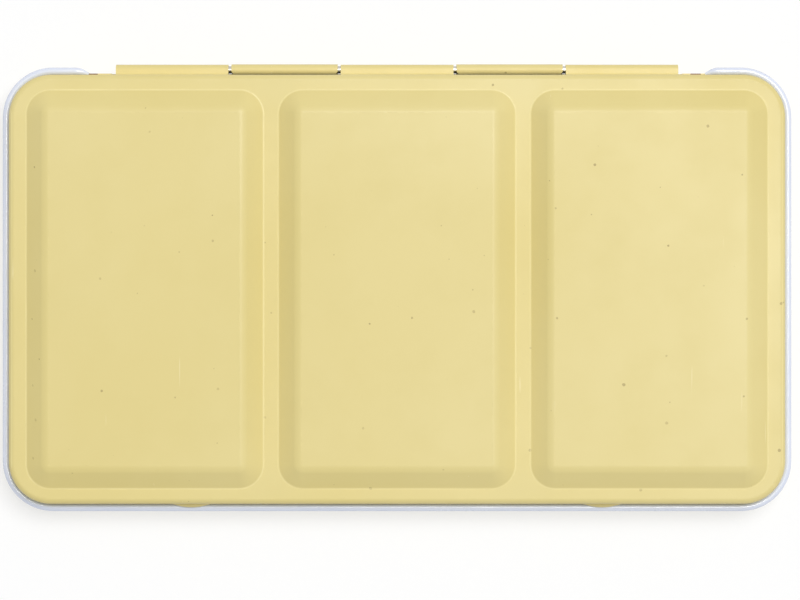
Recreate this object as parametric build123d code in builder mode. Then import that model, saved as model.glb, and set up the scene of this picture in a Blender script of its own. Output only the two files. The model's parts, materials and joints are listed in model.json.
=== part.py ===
from build123d import *
from math import asin, cos, radians, sin, sqrt, tan
import os

os.makedirs("parts", exist_ok=True)

# Millimetres: X runs along the hinge, Y towards the hinge at the back, Z up from the table
sheet = 0.4  # tinplate of the lid, the base, the racks and the strap

# Lid, sized over its skirt
lid_length = 209.4
lid_width = 115.8
lid_corner = 11.4
lid_edge = 1.6  # roll from the top into the skirt
skirt_bottom = 12.2  # the skirt hangs inside the base
lid_land = 19.5  # the level strip round the wells

# Three mixing wells, pressed outwards and so seen as raised panels on the shut tin
well_count = 3
well_length = 63.7
well_width = 107.2
well_corner = 6.5
well_ridge = 4.2  # between two wells
well_rise = 3.3
well_slope = 33.0  # degrees from the level
well_brow = 4.0  # roll from the slope into the flat
well_crease = 0.6  # fold where the slope leaves the land

# Base
skirt_gap = 0.25  # between the lid's skirt and the base's wall
bead_radius = 1.02  # the rim, rolled outwards
bead_z = 13.0
foot_bend = 2.5  # from the wall into the standing land
foot_land = 3.0
recess_depth = 2.6  # the underside is dished, so the thumb ring lies clear of the table
recess_corner = 6.5
recess_slope = 45.0
recess_fold = 1.0

# Hinge: two tongues of the base and three knuckles of the lid round one wire
pin_radius = 1.0
pin_offset = 1.65  # from the lid's skirt to the wire's axis
pin_z = bead_z
tongue_play = 0.1  # the lid's knuckles grip the wire and the base's tongues run on it
knuckle_gap = 0.8
knuckle_edges = (15.7, 45.3, 76.6)
lid_bend = 0.8  # where the lid's skirt turns out to the knuckle
tongue_bend = 0.5
bead_end = 83.6  # the rim stops here, clear of the hinge
bead_taper = 3.6

# Closing dimples on the lid's front skirt, which rest on the rim
dimple_x = 55.6
dimple_plan_radius = 14.7
dimple_radius = 1.3
dimple_depth = 1.15
rest_gap = 0.03

# Pans in two racks with a trough between them
pan_length, pan_width, pan_height = 30.0, 19.0, 10.0
pan_wall, pan_floor, pan_corner = 0.9, 1.0, 1.2
pan_draft = 4.0
pan_pitch_x, pan_pitch_y = 31.5, 20.2
pans_along, pans_across = 6, 2
cake_play = 0.03
cake_drop = 1.3  # from the pan's rim down to the paint
cake_bevel = 0.5
rack_length, rack_width = 190.8, 42.0
rack_edge = 5.0
rack_bend = 1.2
rack_end_width, rack_end_height = 32.0, 7.0
trough_width = 16.4
tab_width, tab_height = 7.0, 6.0

# Brush in the trough, lying on its belly and on the thin end of its handle
brush_x = 18.0  # of the belly
handle_length = 104.0
handle_belly, handle_waist, handle_end = 3.2, 1.78, 1.3
shoulder_at = 22.0  # from the belly back to where the handle has the ferrule's width again
waist_at = 50.84  # from the belly back to the handle's waist
belly_at = 22.0  # from the belly to the handle's front end
neck_length = 8.0  # of the handle, held in the ferrule
lying_play = 0.2
ferrule_length = 24.0
ferrule_rear, ferrule_front = 2.55, 2.1
ferrule_wall = 0.3
crimp_places, crimp_depth = (2.0, 5.5), 0.15
hair_length = 17.0
hair_belly = (4.76, 2.35)  # distance out of the ferrule, radius
hair_shoulder = (9.35, 1.88)
hair_taper = (14.11, 0.92)

# Thumb ring under the base
ring_wire = 0.9
ring_width, ring_reach = 27.0, 26.0
ring_inner_bend, ring_outer_bend = 4.0, 13.4
ring_y = 12.0
strap_width = 9.0
strap_reach = 6.0
strap_play = 0.06

# Worked out from the above
bead_overhang = skirt_gap + 2 * bead_radius
hinge_radius = pin_radius + tongue_play + sheet
tin_y = (bead_overhang - pin_offset - hinge_radius) / 2
hinge_y = tin_y + lid_width / 2 + pin_offset
base_length = lid_length + 2 * (skirt_gap + sheet)
base_width = lid_width + 2 * (skirt_gap + sheet)
base_corner = lid_corner + skirt_gap + sheet
floor_z = recess_depth + sheet
rack_y = (trough_width + rack_width) / 2
notch_z = pin_z + pin_radius + sheet + lid_bend
wall_cut_z = pin_z - hinge_radius - tongue_bend


def tin_plane(height):
    """The level plane through the middle of the tin, which the hinge sets off the origin."""
    return Plane((0, tin_y, height))


def spans(edges):
    """The stretches of the hinge from edge to edge, each drawn in by half a gap."""
    return [(a + knuckle_gap / 2, b - knuckle_gap / 2) for a, b in edges]


inner, middle, outer = knuckle_edges
lid_spans = spans([(-outer, -middle), (-inner, inner), (middle, outer)])
base_spans = spans([(-middle, -inner), (inner, middle)])

# One closing dimple: the outer slice of a round ring, standing out of the front skirt
front_y = tin_y - lid_width / 2
dimple_ring = dimple_plan_radius - dimple_radius
dimple_y = front_y - dimple_depth + dimple_plan_radius
bead_y = front_y - skirt_gap - bead_radius
dimple_rise = sqrt(
    (dimple_radius + bead_radius + rest_gap) ** 2 - (dimple_y - dimple_ring - bead_y) ** 2
)
with BuildPart(Plane((0, dimple_y, bead_z + dimple_rise))) as dimple:
    Torus(dimple_ring, dimple_radius)
    split(bisect_by=Plane.XZ.offset(-(front_y + sheet / 2)), keep=Keep.TOP)

with BuildPart(Plane((0, dimple_y, bead_z + dimple_rise))) as dimple_hollow:
    Torus(dimple_ring, dimple_radius - sheet)

# Lid: a shallow pan upside down with three wells, drawn to a shell
with BuildPart() as lid:
    with BuildSketch(tin_plane(skirt_bottom)):
        RectangleRounded(lid_length, lid_width, lid_corner)
    extrude(amount=lid_land - skirt_bottom)
    fillet(lid.faces().sort_by(Axis.Z)[-1].edges(), lid_edge)
    with BuildSketch(tin_plane(lid_land)):
        with GridLocations(well_length + well_ridge, 0, well_count, 1):
            RectangleRounded(well_length, well_width, well_corner)
    extrude(amount=well_rise, taper=90 - well_slope)
    land = lid.faces().filter_by(Plane.XY).sort_by(Axis.Z)[-well_count - 1]
    fillet(land.inner_wires().edges(), well_crease)
    flats = lid.faces().filter_by(Plane.XY).group_by(Axis.Z)[-1]
    fillet(flats.edges(), well_brow)
    offset(amount=-sheet, openings=lid.faces().sort_by(Axis.Z)[0])
    with Locations((-dimple_x, 0, 0), (dimple_x, 0, 0)):
        add(dimple.part)
    with Locations((-dimple_x, 0, 0), (dimple_x, 0, 0)):
        add(dimple_hollow.part, mode=Mode.SUBTRACT)
    # The back skirt ends high over the hinge
    with BuildSketch(Plane((0, hinge_y, skirt_bottom))):
        Rectangle(2 * outer + knuckle_gap, 4 * pin_offset)
    extrude(amount=notch_z - skirt_bottom, mode=Mode.SUBTRACT)
    # Each knuckle turns out of the skirt, over the wire and round under it
    for start, end in lid_spans:
        with BuildSketch(Plane.YZ.offset(start)):
            with BuildLine():
                skirt = (hinge_y - pin_offset - sheet / 2, notch_z)
                roll = pin_radius + sheet / 2
                turn = (skirt[0] + lid_bend + sheet / 2, pin_z + roll)
                RadiusArc(skirt, turn, lid_bend + sheet / 2)
                Line(turn, (hinge_y, pin_z + roll))
                CenterArc((hinge_y, pin_z), roll, 90, -255)
            trace(line_width=sheet)
        extrude(amount=end - start)
lid.part.label = "lid"
export_step(lid.part, "parts/lid.step")

# Base: a pan with a dished floor, its rim rolled outwards and its back wall cut for the hinge
with BuildPart() as base_tin:
    with BuildSketch(tin_plane(0)):
        RectangleRounded(base_length, base_width, base_corner)
    extrude(amount=bead_z)
    fillet(base_tin.faces().sort_by(Axis.Z)[0].edges(), foot_bend)
    with BuildSketch(tin_plane(0)):
        foot = foot_bend + foot_land
        RectangleRounded(base_length - 2 * foot, base_width - 2 * foot, recess_corner)
    extrude(amount=recess_depth, taper=recess_slope, mode=Mode.SUBTRACT)
    roof = base_tin.faces().filter_by(Plane.XY).sort_by(Axis.Z)[1]
    fillet(roof.edges(), recess_fold)
    foot_face = base_tin.faces().sort_by(Axis.Z)[0]
    fillet(foot_face.inner_wires().edges(), recess_fold)
    offset(amount=-sheet, openings=base_tin.faces().sort_by(Axis.Z)[-1])
    back = lid_width / 2 + skirt_gap + bead_radius
    side = lid_length / 2 + skirt_gap + bead_radius
    with BuildLine(tin_plane(bead_z)) as rim:
        FilletPolyline(
            (-bead_end, back),
            (-side, back),
            (-side, -back),
            (side, -back),
            (side, back),
            (bead_end, back),
            radius=lid_corner + skirt_gap + bead_radius,
        )
    with BuildSketch(Plane(origin=(-bead_end, tin_y + back, bead_z), x_dir=(0, 1, 0), z_dir=(-1, 0, 0))):
        with BuildLine():
            CenterArc((0, 0), bead_radius - sheet / 2, 180, -290)
        trace(line_width=sheet)
    sweep(path=rim.line)
    # The rim's two ends fade into the back wall
    with BuildSketch(tin_plane(bead_z - 2 * bead_radius)):
        with BuildLine():
            wall = base_width / 2
            reach = lid_width / 2 + bead_overhang + sheet
            Polyline(
                (bead_end, wall),
                (bead_end + bead_taper, reach),
                (bead_end - sheet, reach),
                (bead_end - sheet, wall),
                close=True,
            )
        make_face()
        mirror(about=Plane.YZ)
    extrude(amount=4 * bead_radius, mode=Mode.SUBTRACT)
    with BuildSketch(Plane((0, hinge_y, wall_cut_z))):
        Rectangle(2 * outer + 2 * knuckle_gap, 4 * pin_offset)
    extrude(amount=2 * pin_offset, mode=Mode.SUBTRACT)
    # Each tongue turns out of the wall under the wire, round it and back over it
    for start, end in base_spans:
        with BuildSketch(Plane.YZ.offset(start)):
            with BuildLine():
                wall_y = tin_y + base_width / 2 - sheet / 2
                roll = hinge_radius - sheet / 2
                turn = (wall_y + tongue_bend + sheet / 2, pin_z - roll)
                RadiusArc((wall_y, wall_cut_z), turn, -(tongue_bend + sheet / 2))
                Line(turn, (hinge_y, pin_z - roll))
                CenterArc((hinge_y, pin_z), roll, -90, 240)
            trace(line_width=sheet)
        extrude(amount=end - start)
base_tin.part.label = "base_tin"
export_step(base_tin.part, "parts/base_tin.step")

# Hinge wire, gripped by the lid's knuckles
with BuildPart() as hinge_pin:
    with BuildSketch(Plane((-outer + knuckle_gap, hinge_y, pin_z), z_dir=(1, 0, 0))):
        Circle(pin_radius)
    extrude(amount=2 * (outer - knuckle_gap))
    chamfer(hinge_pin.edges().filter_by(GeomType.CIRCLE), pin_radius / 4)
hinge_pin.part.label = "hinge_pin"
export_step(hinge_pin.part, "parts/hinge_pin.step")


def make_rack(label, centre_y):
    """A folded strip with upturned edges and ends, and tabs bent up out of its floor between the pans."""
    with BuildPart() as rack:
        with BuildSketch(Plane.YZ.offset(-rack_length / 2)):
            half = (rack_width - sheet) / 2
            low = floor_z + sheet / 2
            with BuildLine():
                FilletPolyline(
                    (centre_y - half, low + rack_edge),
                    (centre_y - half, low),
                    (centre_y + half, low),
                    (centre_y + half, low + rack_edge),
                    radius=rack_bend,
                )
            trace(line_width=sheet)
        extrude(amount=rack_length)
        with BuildSketch(Plane((0, centre_y, floor_z))):
            with GridLocations(rack_length - sheet, 0, 2, 1):
                Rectangle(sheet, rack_end_width)
        extrude(amount=rack_end_height)
        with BuildSketch(Plane((0, centre_y, floor_z))):
            with GridLocations(pan_pitch_x, pan_pitch_y, pans_along - 1, pans_across):
                with Locations(((tab_height + sheet) / 2, 0)):
                    Rectangle(tab_height, tab_width)
        extrude(amount=sheet, mode=Mode.SUBTRACT)
        with BuildSketch(Plane((0, centre_y, floor_z))):
            with GridLocations(pan_pitch_x, pan_pitch_y, pans_along - 1, pans_across):
                Rectangle(sheet, tab_width)
        extrude(amount=tab_height + sheet)
    rack.part.label = label
    export_step(rack.part, f"parts/{label}.step")


make_rack("front_pan_rack", tin_y - rack_y)
make_rack("back_pan_rack", tin_y + rack_y)

# One pan: tapered, open on top, its corners cut off in flats
with BuildPart() as pan:
    with BuildSketch(Plane.XY.offset(pan_height)):
        Rectangle(pan_length, pan_width)
        chamfer(vertices(), pan_corner)
    extrude(amount=-pan_height, taper=pan_draft)
    with BuildSketch(Plane.XY.offset(pan_height)):
        Rectangle(pan_length - 2 * pan_wall, pan_width - 2 * pan_wall)
        chamfer(vertices(), pan_corner - pan_wall / 2)
    extrude(amount=pan_floor - pan_height, taper=pan_draft, mode=Mode.SUBTRACT)

# One cake of paint: it fills the pan to a little under its rim
cake_top = pan_height - cake_drop
cake_inset = 2 * (pan_wall + cake_play + cake_drop * tan(radians(pan_draft)))
with BuildPart() as cake:
    with BuildSketch(Plane.XY.offset(cake_top)):
        Rectangle(pan_length - cake_inset, pan_width - cake_inset)
        chamfer(vertices(), pan_corner - pan_wall / 2)
    extrude(amount=pan_floor - cake_top, taper=pan_draft)
    chamfer(cake.faces().sort_by(Axis.Z)[-1].edges(), cake_bevel)

# Pans and cakes are numbered from the front left, row by row
pan_places = []
for rack_middle in (tin_y - rack_y, tin_y + rack_y):
    for row in range(pans_across):
        for column in range(pans_along):
            x = (column - (pans_along - 1) / 2) * pan_pitch_x
            y = rack_middle + (row - (pans_across - 1) / 2) * pan_pitch_y
            pan_places.append(Location((x, y, floor_z + sheet)))
for number, place in enumerate(pan_places, 1):
    for kind, form in (("pan", pan), ("paint", cake)):
        piece = form.part.moved(place)
        piece.label = f"{kind}_{number:02d}"
        export_step(piece, f"parts/{piece.label}.step")

# Brush: its own plane runs along the axis, with the bristles towards +X
tilt = asin((handle_belly - handle_end) / (handle_length - belly_at))
brush_plane = Plane(
    origin=(brush_x, tin_y, floor_z + handle_belly + lying_play),
    x_dir=(cos(tilt), 0, sin(tilt)),
    z_dir=(0, -1, 0),
)
brush_axis = Axis(brush_plane.origin, brush_plane.x_dir)
handle_tip = belly_at - handle_length
ferrule_at = belly_at - neck_length
ferrule_tip = ferrule_at + ferrule_length
neck_radius = ferrule_rear - ferrule_wall
bore_front = ferrule_front - ferrule_wall

with BuildPart() as brush_handle:
    with BuildSketch(brush_plane):
        with BuildLine():
            shoulder = (-shoulder_at, ferrule_rear)
            ThreePointArc((handle_tip, handle_end), (-waist_at, handle_waist), shoulder)
            ThreePointArc(shoulder, (0, handle_belly), (ferrule_at, ferrule_rear))
            Polyline(
                (ferrule_at, ferrule_rear),
                (ferrule_at, neck_radius),
                (belly_at, neck_radius),
                (belly_at, 0),
                (handle_tip - handle_end, 0),
            )
            RadiusArc((handle_tip - handle_end, 0), (handle_tip, handle_end), handle_end)
        make_face()
    revolve(axis=brush_axis)
brush_handle.part.label = "brush_handle"
export_step(brush_handle.part, "parts/brush_handle.step")

# Ferrule: a drawn tube, straight over the handle's neck and narrowing to the hair, with two crimps
with BuildPart() as brush_ferrule:
    with BuildSketch(brush_plane):
        with BuildLine():
            Polyline(
                (ferrule_at, neck_radius),
                (ferrule_at, ferrule_rear),
                (belly_at, ferrule_rear),
                (ferrule_tip, ferrule_front),
                (ferrule_tip, bore_front),
                (belly_at, neck_radius),
                close=True,
            )
        make_face()
        with Locations(*[(ferrule_at + place, ferrule_rear) for place in crimp_places]):
            Circle(crimp_depth, mode=Mode.SUBTRACT)
    revolve(axis=brush_axis)
brush_ferrule.part.label = "brush_ferrule"
export_step(brush_ferrule.part, "parts/brush_ferrule.step")

# Hair: packed in the ferrule and drawn to a point outside it
with BuildPart() as brush_bristles:
    with BuildSketch(brush_plane):
        with BuildLine():
            Polyline(
                (ferrule_tip + hair_length, 0),
                (belly_at, 0),
                (belly_at, neck_radius),
                (ferrule_tip, bore_front),
            )
            belly, swell, taper = [
                (ferrule_tip + place, radius) for place, radius in (hair_belly, hair_shoulder, hair_taper)
            ]
            ThreePointArc((ferrule_tip, bore_front), belly, swell)
            Polyline(swell, taper, (ferrule_tip + hair_length, 0))
        make_face()
    revolve(axis=brush_axis)
brush_bristles.part.label = "brush_bristles"
export_step(brush_bristles.part, "parts/brush_bristles.step")

# Thumb ring: a bent wire whose straight leg turns in a strap fixed under the floor
wire_z = recess_depth - strap_play - ring_wire
with BuildPart() as thumb_ring:
    with BuildLine(Plane((0, ring_y, wire_z))) as ring_line:
        half = ring_width / 2
        FilletPolyline(
            (half, 0),
            (half, -ring_reach),
            (-half, -ring_reach),
            (-half, 0),
            radius=[ring_inner_bend, ring_outer_bend, ring_outer_bend, ring_inner_bend],
            close=True,
        )
    with BuildSketch(Plane(origin=ring_line.line @ 0, z_dir=ring_line.line % 0)):
        Circle(ring_wire)
    sweep(path=ring_line.line)
thumb_ring.part.label = "thumb_ring"
export_step(thumb_ring.part, "parts/thumb_ring.step")

# Strap: two feet flat on the underside of the floor and a loop round the ring's leg
with BuildPart() as ring_strap:
    with BuildSketch(Plane.YZ.offset(-strap_width / 2)):
        with BuildLine():
            loop = ring_wire + strap_play + sheet / 2
            foot_z = recess_depth - sheet / 2
            Line((ring_y - strap_reach, foot_z), (ring_y - loop - sheet, foot_z))
            RadiusArc((ring_y - loop - sheet, foot_z), (ring_y - loop, foot_z - sheet), sheet)
            Line((ring_y - loop, foot_z - sheet), (ring_y - loop, wire_z))
            CenterArc((ring_y, wire_z), loop, 180, 180)
            Line((ring_y + loop, wire_z), (ring_y + loop, foot_z - sheet))
            RadiusArc((ring_y + loop, foot_z - sheet), (ring_y + loop + sheet, foot_z), sheet)
            Line((ring_y + loop + sheet, foot_z), (ring_y + strap_reach, foot_z))
        trace(line_width=sheet)
    extrude(amount=strap_width)
ring_strap.part.label = "ring_strap"
export_step(ring_strap.part, "parts/ring_strap.step")
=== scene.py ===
import bpy
import json
import random
from math import cos, pi, radians, sin, sqrt, tan
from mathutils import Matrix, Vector


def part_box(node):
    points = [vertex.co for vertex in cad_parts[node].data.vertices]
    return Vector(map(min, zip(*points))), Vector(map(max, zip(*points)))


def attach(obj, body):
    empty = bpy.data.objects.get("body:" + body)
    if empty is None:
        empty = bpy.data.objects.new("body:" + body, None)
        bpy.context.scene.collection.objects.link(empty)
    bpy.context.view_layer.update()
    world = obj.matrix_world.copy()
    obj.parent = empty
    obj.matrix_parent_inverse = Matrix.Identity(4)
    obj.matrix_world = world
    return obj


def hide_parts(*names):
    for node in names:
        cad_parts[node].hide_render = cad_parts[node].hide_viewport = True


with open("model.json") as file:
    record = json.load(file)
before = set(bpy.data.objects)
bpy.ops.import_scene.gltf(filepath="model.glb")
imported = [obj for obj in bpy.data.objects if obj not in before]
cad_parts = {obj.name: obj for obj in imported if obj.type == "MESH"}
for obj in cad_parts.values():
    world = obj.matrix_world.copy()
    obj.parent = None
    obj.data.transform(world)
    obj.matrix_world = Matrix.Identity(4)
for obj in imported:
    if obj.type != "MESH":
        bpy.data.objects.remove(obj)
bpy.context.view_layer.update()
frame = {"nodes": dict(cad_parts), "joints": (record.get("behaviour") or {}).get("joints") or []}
mm = 0.001
print("frame loaded:", len(frame["nodes"]), "nodes")

# Places that every piece is set from, read off the frame
joints = {joint["name"]: joint for joint in frame["joints"]}
hingePoint = Vector(joints["lid_hinge"]["pos_m"])
lidLow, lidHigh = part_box("lid")
tin = {
    "sheet": 0.4 * mm,
    "pinOffset": 1.65 * mm,  # from the lid's skirt to the hinge wire
    "lidWidth": 115.8 * mm,
    "skirtGap": 0.25 * mm,  # from the lid's skirt to the base's wall
    "beadRadius": 1.02 * mm,  # of the base's rolled rim
    "cornerSteps": 20,
}
tin["lidLength"] = lidHigh.x - lidLow.x
tin["middleY"] = hingePoint.y - tin["pinOffset"] - tin["lidWidth"] / 2


class Flow:
    # a socket that Python arithmetic adds Math nodes to
    def __init__(self, finish, socket):
        self.finish = finish
        self.socket = socket

    def __add__(self, other):
        return self.finish.maths("ADD", self, other)

    def __radd__(self, other):
        return self.finish.maths("ADD", other, self)

    def __sub__(self, other):
        return self.finish.maths("SUBTRACT", self, other)

    def __rsub__(self, other):
        return self.finish.maths("SUBTRACT", other, self)

    def __mul__(self, other):
        return self.finish.maths("MULTIPLY", self, other)

    def __rmul__(self, other):
        return self.finish.maths("MULTIPLY", other, self)

    def __truediv__(self, other):
        return self.finish.maths("DIVIDE", self, other)

    def __rtruediv__(self, other):
        return self.finish.maths("DIVIDE", other, self)

    def __pow__(self, other):
        return self.finish.maths("POWER", self, other)

    def __abs__(self):
        return self.finish.maths("ABSOLUTE", self)

    def __gt__(self, other):
        return self.finish.maths("GREATER_THAN", self, other)

    def __lt__(self, other):
        return self.finish.maths("LESS_THAN", self, other)


class Finish:
    # a material or a world: its shader, and one method that makes every other node
    def __init__(self, name, kind="materials", shader="Principled BSDF", **constants):
        self.block = getattr(bpy.data, kind).new(name)
        self.block.use_nodes = True
        self.tree = self.block.node_tree
        self.shader = self.tree.nodes[shader]
        for label, value in constants.items():
            self.shader.inputs[label.replace("_", " ")].default_value = value

    def node(self, kind, settings=None, values=None, output=0):
        made = self.tree.nodes.new(kind)
        for label, value in (settings or {}).items():
            setattr(made, label, value)
        for label, value in (values or {}).items():
            self.feed(made.inputs[label], value)
        return Flow(self, made.outputs[output])

    def feed(self, socket, value):
        if isinstance(value, Flow):
            self.tree.links.new(value.socket, socket)
        else:
            socket.default_value = value

    def shade(self, **inputs):
        for label, value in inputs.items():
            self.feed(self.shader.inputs[label.replace("_", " ")], value)
        return self.block

    def maths(self, operation, *values):
        return self.node("ShaderNodeMath", {"operation": operation}, dict(enumerate(values)))

    def place(self):
        return self.node("ShaderNodeTexCoord", output="Object")

    def axes(self, vector):
        split = self.node("ShaderNodeSeparateXYZ", values={0: vector})
        return [Flow(self, out) for out in split.socket.node.outputs]

    def noise(self, vector, scale, detail=2.0, rough=0.5, stretch=(1, 1, 1)):
        if stretch != (1, 1, 1):
            vector = self.node("ShaderNodeMapping", values={"Vector": vector, "Scale": stretch})
        return self.node(
            "ShaderNodeTexNoise",
            values={"Vector": vector, "Scale": scale, "Detail": detail, "Roughness": rough},
        )

    def ramp(self, factor, low, high, start=0.0, end=1.0):
        # value that goes from start to end while factor goes from low to high
        values = {"Value": factor, "From Min": low, "From Max": high, "To Min": start, "To Max": end}
        return self.node("ShaderNodeMapRange", {"clamp": True}, values)

    def mix(self, factor, first, second):
        return self.node("ShaderNodeMix", {"data_type": "RGBA"}, {0: factor, 6: first, 7: second}, 2)

    def bump(self, height, distance, strength):
        values = {"Height": height, "Distance": distance, "Strength": strength}
        return self.node("ShaderNodeBump", values=values)


def tone(red, green, blue):
    # a colour as a picture shows it, turned into the linear values that Blender takes
    def linear(part):
        part = part / 255
        return part / 12.92 if part <= 0.04045 else ((part + 0.055) / 1.055) ** 2.4
    return (linear(red), linear(green), linear(blue), 1.0)


# Modelling, by hand: pick something, then use an edit tool on it
def clearSelection():
    if bpy.context.object and bpy.context.object.mode != "OBJECT":
        bpy.ops.object.mode_set(mode="OBJECT")
    bpy.ops.object.select_all(action="DESELECT")


def takeUp(piece):
    clearSelection()
    piece.select_set(True)
    bpy.context.view_layer.objects.active = piece


def startBox(name, size, middle):
    clearSelection()
    bpy.ops.mesh.primitive_cube_add(size=1, location=middle, scale=size)
    bpy.ops.object.transform_apply(location=True, rotation=True, scale=True)
    bpy.context.object.name = name
    return bpy.context.object


def copyOf(piece, name, shift):
    # a copy with its own mesh, on its own place
    takeUp(piece)
    bpy.ops.object.duplicate_move(TRANSFORM_OT_translate={"value": tuple(shift)})
    bpy.ops.object.transform_apply(location=True, rotation=True, scale=True)
    bpy.context.object.name = name
    return bpy.context.object


def pick(piece, kind, test):
    # leaves the piece in edit mode with only the points, edges or faces that pass the test
    bpy.ops.object.mode_set(mode="EDIT")
    bpy.ops.mesh.select_mode(type=kind)
    bpy.ops.mesh.select_all(action="DESELECT")
    bpy.ops.object.mode_set(mode="OBJECT")
    mesh = piece.data
    if kind == "VERT":
        for point in mesh.vertices:
            point.select = test(point.co)
    elif kind == "EDGE":
        for edge in mesh.edges:
            edge.select = test(*[mesh.vertices[end].co for end in edge.vertices])
    else:
        for face in mesh.polygons:
            face.select = test(face.center, face.normal)
    bpy.ops.object.mode_set(mode="EDIT")


def near(first, second, reach=1e-6):
    return abs(first - second) < reach


def upright(a, b):
    return near(a.x, b.x) and near(a.y, b.y) and not near(a.z, b.z)


def level(height):
    return lambda a, b: near(a.z, height) and near(b.z, height)


def facesUp(centre, normal):
    return normal.z > 0.999


def facesDown(centre, normal):
    return normal.z < -0.999


def roundEdges(piece, test, radius, steps):
    pick(piece, "EDGE", test)
    bpy.ops.mesh.bevel(offset=radius, segments=steps, profile=0.5, affect="EDGES", clamp_overlap=True)
    bpy.ops.object.mode_set(mode="OBJECT")


def dropFaces(piece, test):
    pick(piece, "FACE", test)
    bpy.ops.mesh.delete(type="FACE")
    bpy.ops.object.mode_set(mode="OBJECT")


def scaleAbout(centre, along, across):
    bpy.ops.transform.resize(value=(along, across, 1), center_override=centre)


def modify(piece, kind, **settings):
    takeUp(piece)
    modifier = piece.modifiers.new(kind.lower(), kind)
    for label, value in settings.items():
        setattr(modifier, label, value)
    bpy.ops.object.modifier_apply(modifier=modifier.name)


def combine(piece, tool, operation):
    modify(piece, "BOOLEAN", operation=operation, object=tool, solver="EXACT")
    bpy.data.objects.remove(tool)


def joinTo(piece, others):
    takeUp(piece)
    for other in others:
        other.select_set(True)
    bpy.ops.object.join()


def smooth(piece, angle):
    # angle in degrees, over which an edge stays sharp
    takeUp(piece)
    bpy.ops.object.shade_smooth_by_angle(angle=radians(angle))
    modify(piece, "WEIGHTED_NORMAL", keep_sharp=True, weight=50)


def finishPiece(piece, body, node, material=None):
    if material:
        piece.data.materials.append(material)
    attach(piece, body)
    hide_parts(node)


# Hinge: strips of sheet that turn out of a wall and roll round the wire.
# In its functions side is 1 for the lid, whose strips come down to the wire, and -1 for the base
hingeDesign = {
    "stem": 0.3 * mm,  # of a strip, along the wall that it leaves
    "bendSteps": 8,
    "rollSteps": 30,
    "edge": 0.08 * mm,  # bevel on the cut edges of the sheet
    "edgeAngle": radians(50),
    "cutterDepth": 6 * mm,
    "cutterHeight": 8 * mm,
}


def rolledStrip(name, design, span, sheetY, startZ, side):
    hinge = hingeDesign
    start, end = span[0] * mm, span[1] * mm
    middle = ((start + end) / 2, sheetY, startZ + side * hinge["stem"] / 2)
    clearSelection()
    bpy.ops.mesh.primitive_plane_add(size=1, location=middle, rotation=(pi / 2, 0, 0))
    strip = bpy.context.object
    strip.name = name
    strip.scale = (end - start, hinge["stem"], 1)
    bpy.ops.object.transform_apply(location=True, rotation=True, scale=True)
    pick(strip, "EDGE", level(startZ))
    bendPoint = (0, sheetY + design["bend"], startZ)
    bpy.ops.mesh.spin(steps=hinge["bendSteps"], angle=-side * pi / 2, center=bendPoint, axis=(1, 0, 0))
    toWire = (0, hingePoint.y - bendPoint[1], 0)
    bpy.ops.mesh.extrude_region_move(TRANSFORM_OT_translate={"value": toWire})
    wirePoint = (0, hingePoint.y, hingePoint.z)
    roll = side * design["roll"]
    bpy.ops.mesh.spin(steps=hinge["rollSteps"], angle=roll, center=wirePoint, axis=(1, 0, 0))
    bpy.ops.mesh.select_all(action="SELECT")
    bpy.ops.mesh.remove_doubles(threshold=1e-6)
    bpy.ops.object.mode_set(mode="OBJECT")
    modify(strip, "SOLIDIFY", thickness=tin["sheet"], offset=0, use_even_offset=True)
    edge, angle = hinge["edge"], hinge["edgeAngle"]
    modify(strip, "BEVEL", width=edge, segments=2, limit_method="ANGLE", angle_limit=angle)
    return strip


def cutWallBack(piece, halfLength, edgeZ, side):
    # cuts the lid's skirt away below edgeZ, or the base's wall above it, all along the hinge
    size = (2 * halfLength, hingeDesign["cutterDepth"], hingeDesign["cutterHeight"])
    cutter = startBox("cutter", size, (0, hingePoint.y, edgeZ - side * size[2] / 2))
    combine(piece, cutter, "DIFFERENCE")


# Lid: a pressed shell with three wells, two dimples and three rolled knuckles
lidDesign = {
    "corner": 11.4 * mm,
    "edge": 1.6 * mm,
    "edgeSteps": 8,
    "skirtBottom": 12.2 * mm,
    "landZ": 19.5 * mm,
    "wellLength": 63.7 * mm,
    "wellWidth": 107.2 * mm,
    "wellPitch": 67.9 * mm,
    "wellCorner": 6.5 * mm,
    "wellCornerSteps": 14,
    "wellRoot": 2 * mm,  # of the block under a well, to join it to the lid
    "slope": radians(33),
    "brow": 4.0 * mm,  # radius from the slope into the flat
    "browSteps": 8,
    "crease": 0.96 * mm,  # radius of the fold round each well
    "creaseSteps": 3,
    "outlineReach": 0.03 * mm,  # how near a well's outline an edge counts as its fold
    "dimpleX": 55.6 * mm,
    "dimplePlanRadius": 14.7 * mm,
    "dimpleRadius": 1.3 * mm,
    "dimpleDepth": 1.15 * mm,
    "dimpleZ": 14.857 * mm,
    "dimpleRoot": 0.2 * mm,  # of a dimple, behind the skirt's face
    "dimpleSegments": (120, 24),
    "knuckles": [(-76.2, -45.7), (-15.3, 15.3), (45.7, 76.2)],
    "notchHalf": 77.0 * mm,
    "notchRise": 2.2 * mm,  # from the wire up to the cut skirt
    "bend": 1.0 * mm,  # to the middle of the sheet
    "roll": radians(255),
}


def pressedWell():
    # the left well, raised from the land with its slopes
    design = lidDesign
    rise = lidHigh.z - design["landZ"]
    size = (design["wellLength"], design["wellWidth"], design["wellRoot"])
    middle = (-design["wellPitch"], tin["middleY"], design["landZ"] - design["wellRoot"] / 2)
    well = startBox("well", size, middle)
    roundEdges(well, upright, design["wellCorner"], design["wellCornerSteps"])
    pick(well, "FACE", facesUp)
    bpy.ops.mesh.inset(thickness=rise / tan(design["slope"]))
    bpy.ops.transform.translate(value=(0, 0, rise))
    bpy.ops.object.mode_set(mode="OBJECT")
    roundEdges(well, level(lidHigh.z), design["brow"] * tan(design["slope"] / 2), design["browSteps"])
    return well


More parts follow.
